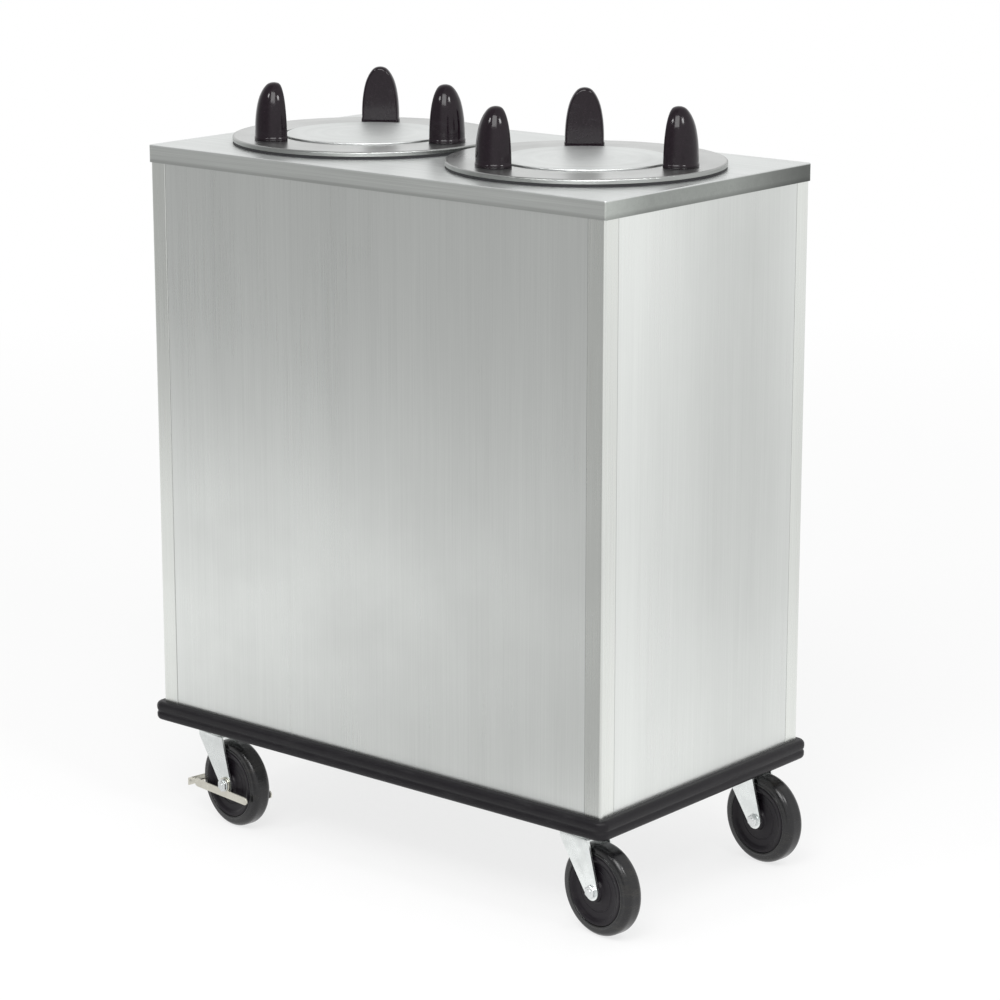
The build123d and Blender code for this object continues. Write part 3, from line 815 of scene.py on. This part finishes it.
# A floor that fades to plain white, and shows metal a bright pool beside the object's front left corner
def make_studio():
    reach = 40.0
    points = [(-reach, -reach, 0.0), (reach, -reach, 0.0), (reach, reach, 0.0), (-reach, reach, 0.0)]
    mesh = bpy.data.meshes.new("floor")
    mesh.from_pydata(points, [], [(0, 1, 2, 3)])
    floor = bpy.data.objects.new("floor", mesh)
    scene.collection.objects.link(floor)
    material = bpy.data.materials.new("pale_floor")
    material.use_nodes = True
    tree = material.node_tree
    tree.nodes.clear()
    path = node(tree, "LightPath")
    place = node(tree, "NewGeometry").outputs["Position"]
    away = length_of(tree, place)
    diffuse = node(tree, "BsdfDiffuse", {"Color": (0.9, 0.9, 0.9, 1)}).outputs[0]
    bright = node(tree, "Emission", {"Color": white, "Strength": 1.0}).outputs[0]
    seen = node(tree, "Emission", {"Color": white, "Strength": floor_shine(tree, place, away)}).outputs[0]
    to_camera = mix_shaders(tree, remap(tree, away, 0.9, 4.0, 0.74, 1.0), diffuse, bright)
    to_metal = mix_shaders(tree, 0.85, diffuse, seen)
    mixed = mix_shaders(tree, path.outputs["Is Camera Ray"], diffuse, to_camera)
    mixed = mix_shaders(tree, is_sharp_ray(tree, path), mixed, to_metal)
    output = node(tree, "OutputMaterial")
    tree.links.new(mixed, output.inputs[0])
    mesh.materials.append(material)


def make_world():
    world = bpy.data.worlds.new("studio")
    scene.world = world
    world.use_nodes = True
    tree = world.node_tree
    tree.nodes.clear()
    path = node(tree, "LightPath")
    direction = node(tree, "TexCoord").outputs["Generated"]
    height = node(tree, "SeparateXYZ", {0: direction}).outputs[2]
    ceiling = remap(tree, height, 0.35, 1.0, 1.0, 0.68)
    shade = remap(tree, dimness(tree, direction), 0.0, 1.0, ceiling, room_dark)
    even = node(tree, "Background", {"Color": white, "Strength": 0.76}).outputs[0]
    backdrop = node(tree, "Background", {"Color": white, "Strength": 1.0}).outputs[0]
    room = node(tree, "Background", {"Color": white, "Strength": shade}).outputs[0]
    mixed = mix_shaders(tree, is_sharp_ray(tree, path), even, room)
    mixed = mix_shaders(tree, path.outputs["Is Camera Ray"], mixed, backdrop)
    output = node(tree, "OutputWorld")
    tree.links.new(mixed, output.inputs[0])


def make_lamp(name, azimuth, elevation, distance, size, power):
    data = bpy.data.lights.new(name, "AREA")
    data.shape = "RECTANGLE"
    data.size, data.size_y = size
    data.energy = power
    lamp = bpy.data.objects.new(name, data)
    back = way_to(math.radians(azimuth), math.radians(elevation))
    lamp.location = lamp_aim + back * distance
    lamp.rotation_euler = back.to_track_quat("Z", "Y").to_euler()
    scene.collection.objects.link(lamp)


def dress_cabinet():
    upright, crosswise = (1, 1, 0), (0, 1, 1)
    # each panel's last number sets the strength of its painted reflection, and its seams get painted shade
    for name, axis, painted_reflection_drift in (("front", 0, 0.02), ("rear", 0, 0.02), ("left", 1, 0.13), ("right", 1, 0.13)):
        colour = seamed((0.75, 0.77, 0.75), axis, *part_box(name + "_panel"), painted_reflection_drift)
        paint(name + "_panel", brushed_steel(name + "_panel_steel", colour, upright, 0.31))
        flatten_shading(name + "_panel")
    low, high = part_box("corner_post_front_left")[0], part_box("corner_post_rear_right")[1]
    # corner posts carry painted shade on one leg
    posts = brushed_steel("corner_steel", painted_leg_shade((0.77, 0.79, 0.76), low, high), upright, 0.29)
    for corner in corners:
        paint("corner_post_" + corner, posts)
        flatten_shading("corner_post_" + corner)
    # the deck's top colour, then the painted shade of its flange and the darker painted shade of its ends
    deck = flange_with_painted_shade((0.74, 0.76, 0.75), (0.63, 0.65, 0.63), (0.37, 0.39, 0.37), *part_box("deck"))
    paint("deck", brushed_steel("deck_steel", deck, crosswise, 0.4, 2.0))
    flatten_shading("deck")
    inside = brushed_steel("inner_steel", plain((0.58, 0.59, 0.58)), crosswise, 0.42)
    for name in ("base_pan", "deck_brace", "left_foot_ring", "right_foot_ring", "left_carrier_spider",
                 "right_carrier_spider"):
        paint(name, inside)
    plated = zinc_plate("plated_steel", (0.76, 0.78, 0.78))
    for name in ("caster_rails", "left_guide_rods", "right_guide_rods", "left_post_screws",
                 "right_post_screws"):
        paint(name, plated)
    gasket = grained_rubber("gasket_rubber", (0.02, 0.02, 0.022), 0.6, (0.1, 0.1, 0.1), 0.3, 0.3)
    plastic = moulded_plastic("post_plastic", (0.009, 0.005, 0.008), 0.11, (0.018, 0.014, 0.018), 0.3)
    for side in sides:
        low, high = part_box(side + "_flange_ring")
        centre = (low + high) / 2
        rim = (high.x - low.x) / 2
        # the last colour is the painted shade on the ring's rolled rim
        flange = spun_steel(side + "_flange_steel", (0.52, 0.53, 0.52), centre, 0.3, rim, (0.38, 0.39, 0.38))
        paint(side + "_flange_ring", flange)
        paint(side + "_carrier_plate", spun_steel(side + "_carrier_steel", (0.77, 0.79, 0.78), centre, 0.46))
        paint(side + "_ring_gasket", gasket)
        make_springs(side, plated)
        for number in (1, 2, 3):
            angle = dispenser_turn[side] + post_step * (number - 1)
            make_guide_post(side + "_guide_post_" + str(number), angle, centre, plastic)
    vinyl = grained_rubber("bumper_vinyl", (0.009, 0.008, 0.010), 0.4, (0.06, 0.06, 0.06), 0.3, 0.22)
    make_bumper(vinyl)
    return plated


def dress_casters(plated):
    dust = (0.09, 0.08, 0.06)
    tyre = grained_rubber("tyre_rubber", (0.006, 0.006, 0.007), 0.24, dust, 0.3, 0.5, 0.00003)
    core = moulded_plastic("wheel_plastic", (0.009, 0.007, 0.010), 0.34, (0.025, 0.022, 0.022), 0.22)
    fork = zinc_plate("fork_zinc", (0.84, 0.87, 0.86), 0.25)
    lever = zinc_plate("lever_zinc", (0.74, 0.72, 0.64), 0.34)
    for corner in corners:
        place = caster_matrix(corner)
        make_tyre(corner, tyre, place)
        make_wheel(corner, core, place)
        make_fork(corner, fork, place)
        make_axle_bolt(corner, plated, place)
        make_caster_plate(corner, plated)
        if corner in braked:
            make_brake(corner, lever, place)
    make_caster_bolts(plated)


make_camera()
make_studio()
make_world()
make_lamp("key", 29, 44, 3.6, (1.7, 1.7), 55)
make_lamp("right_fill", 76, 42, 3.8, (0.7, 0.7), 26)
make_lamp("left_fill", -12, 42, 3.8, (0.5, 0.5), 14)
dress_casters(dress_cabinet())
